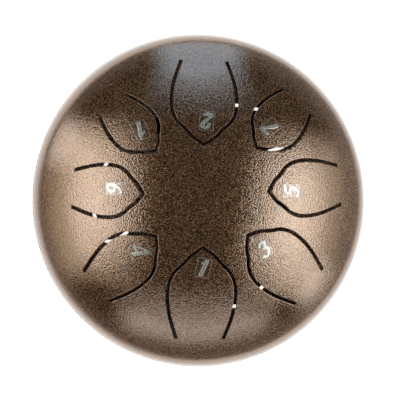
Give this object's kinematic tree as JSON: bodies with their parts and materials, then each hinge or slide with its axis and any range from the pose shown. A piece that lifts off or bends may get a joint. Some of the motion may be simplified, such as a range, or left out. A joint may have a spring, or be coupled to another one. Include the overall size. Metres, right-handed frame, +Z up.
{
  "type": "steel tongue drum",
  "caption": "Round steel tongue drum: dished bowls welded at the rim, petal tongues with numbered labels on top, tongues and a sound hole underneath, rubber feet.",
  "frame": {"origin": "centre of the drum on the plane that its three feet rest on", "axes": "+Z up, through the crown; +Y towards the tongue of note 2, +X towards the tongue of note 5"},
  "size_m": [0.1554, 0.1554, 0.0791],
  "materials": {
    "hammered_paint": "bronze-brown hammered paint, satin, with a fine wormy relief",
    "painted_weld": "painted weld bead, ground nearly flush",
    "label_film": "clear glossy film with a silver numeral",
    "foot_rubber": "matt black moulded rubber"
  },
  "bodies": {
    "drum": {"upper_shell": "hammered_paint", "lower_shell": "hammered_paint", "seam_weld": "painted_weld", "foot_right": "foot_rubber", "foot_back": "foot_rubber", "foot_front": "foot_rubber"},
    "tongue_body_1": {"tongue_1": "hammered_paint", "label_1": "label_film"},
    "tongue_body_2": {"tongue_2": "hammered_paint", "label_2": "label_film"},
    "tongue_body_3": {"tongue_3": "hammered_paint", "label_3": "label_film"},
    "tongue_body_4": {"tongue_4": "hammered_paint", "label_4": "label_film"},
    "tongue_body_5": {"tongue_5": "hammered_paint", "label_5": "label_film"},
    "tongue_body_6": {"tongue_6": "hammered_paint", "label_6": "label_film"},
    "tongue_body_7": {"tongue_7": "hammered_paint", "label_7": "label_film"},
    "tongue_body_1_high": {"tongue_1_high": "hammered_paint", "label_1_high": "label_film"},
    "lower_tongue_body_back": {"lower_tongue_back": "hammered_paint"},
    "lower_tongue_body_left": {"lower_tongue_left": "hammered_paint"},
    "lower_tongue_body_front": {"lower_tongue_front": "hammered_paint"}
  },
  "joints": [
    {"name": "tongue_1_flex", "type": "hinge", "parent": "drum", "child": "tongue_body_1", "pos_m": [-0.00067, -0.06386, 0.05775], "axis": [-0.9999, 0.0105, 0], "range_deg": [-0.7, 0.7], "stiffness_Nm_per_rad": 5},
    {"name": "tongue_2_flex", "type": "hinge", "parent": "drum", "child": "tongue_body_2", "pos_m": [0.00134, 0.06416, 0.05752], "axis": [0.9996, -0.0297, 0], "range_deg": [-0.7, 0.7], "stiffness_Nm_per_rad": 5},
    {"name": "tongue_3_flex", "type": "hinge", "parent": "drum", "child": "tongue_body_3", "pos_m": [0.04996, -0.04002, 0.05763], "axis": [-0.6252, -0.7804, 0], "range_deg": [-0.7, 0.7], "stiffness_Nm_per_rad": 5},
    {"name": "tongue_4_flex", "type": "hinge", "parent": "drum", "child": "tongue_body_4", "pos_m": [-0.0482, -0.03973, 0.05873], "axis": [-0.6494, 0.7604, 0], "range_deg": [-0.7, 0.7], "stiffness_Nm_per_rad": 5},
    {"name": "tongue_5_flex", "type": "hinge", "parent": "drum", "child": "tongue_body_5", "pos_m": [0.06409, 0.00708, 0.0573], "axis": [0.0976, -0.9952, 0], "range_deg": [-0.7, 0.7], "stiffness_Nm_per_rad": 5},
    {"name": "tongue_6_flex", "type": "hinge", "parent": "drum", "child": "tongue_body_6", "pos_m": [-0.05898, 0.00526, 0.06092], "axis": [0.0854, 0.9963, 0], "range_deg": [-0.7, 0.7], "stiffness_Nm_per_rad": 5},
    {"name": "tongue_7_flex", "type": "hinge", "parent": "drum", "child": "tongue_body_7", "pos_m": [0.04447, 0.04573, 0.0578], "axis": [0.7396, -0.673, 0], "range_deg": [-0.7, 0.7], "stiffness_Nm_per_rad": 5},
    {"name": "tongue_1_high_flex", "type": "hinge", "parent": "drum", "child": "tongue_body_1_high", "pos_m": [-0.04097, 0.04317, 0.06072], "axis": [0.7337, 0.6794, 0], "range_deg": [-0.7, 0.7], "stiffness_Nm_per_rad": 5},
    {"name": "lower_tongue_back_flex", "type": "hinge", "parent": "drum", "child": "lower_tongue_body_back", "pos_m": [0.02287, 0.03002, 0.01148], "axis": [0.9114, -0.4115, 0], "range_deg": [-0.7, 0.7], "stiffness_Nm_per_rad": 5},
    {"name": "lower_tongue_left_flex", "type": "hinge", "parent": "drum", "child": "lower_tongue_body_left", "pos_m": [-0.03038, 0, 0.00906], "axis": [0.1201, 0.9928, 0], "range_deg": [-0.7, 0.7], "stiffness_Nm_per_rad": 5},
    {"name": "lower_tongue_front_flex", "type": "hinge", "parent": "drum", "child": "lower_tongue_body_front", "pos_m": [0.0128, -0.02601, 0.00867], "axis": [-0.9403, -0.3404, 0], "range_deg": [-0.7, 0.7], "stiffness_Nm_per_rad": 5}
  ]
}
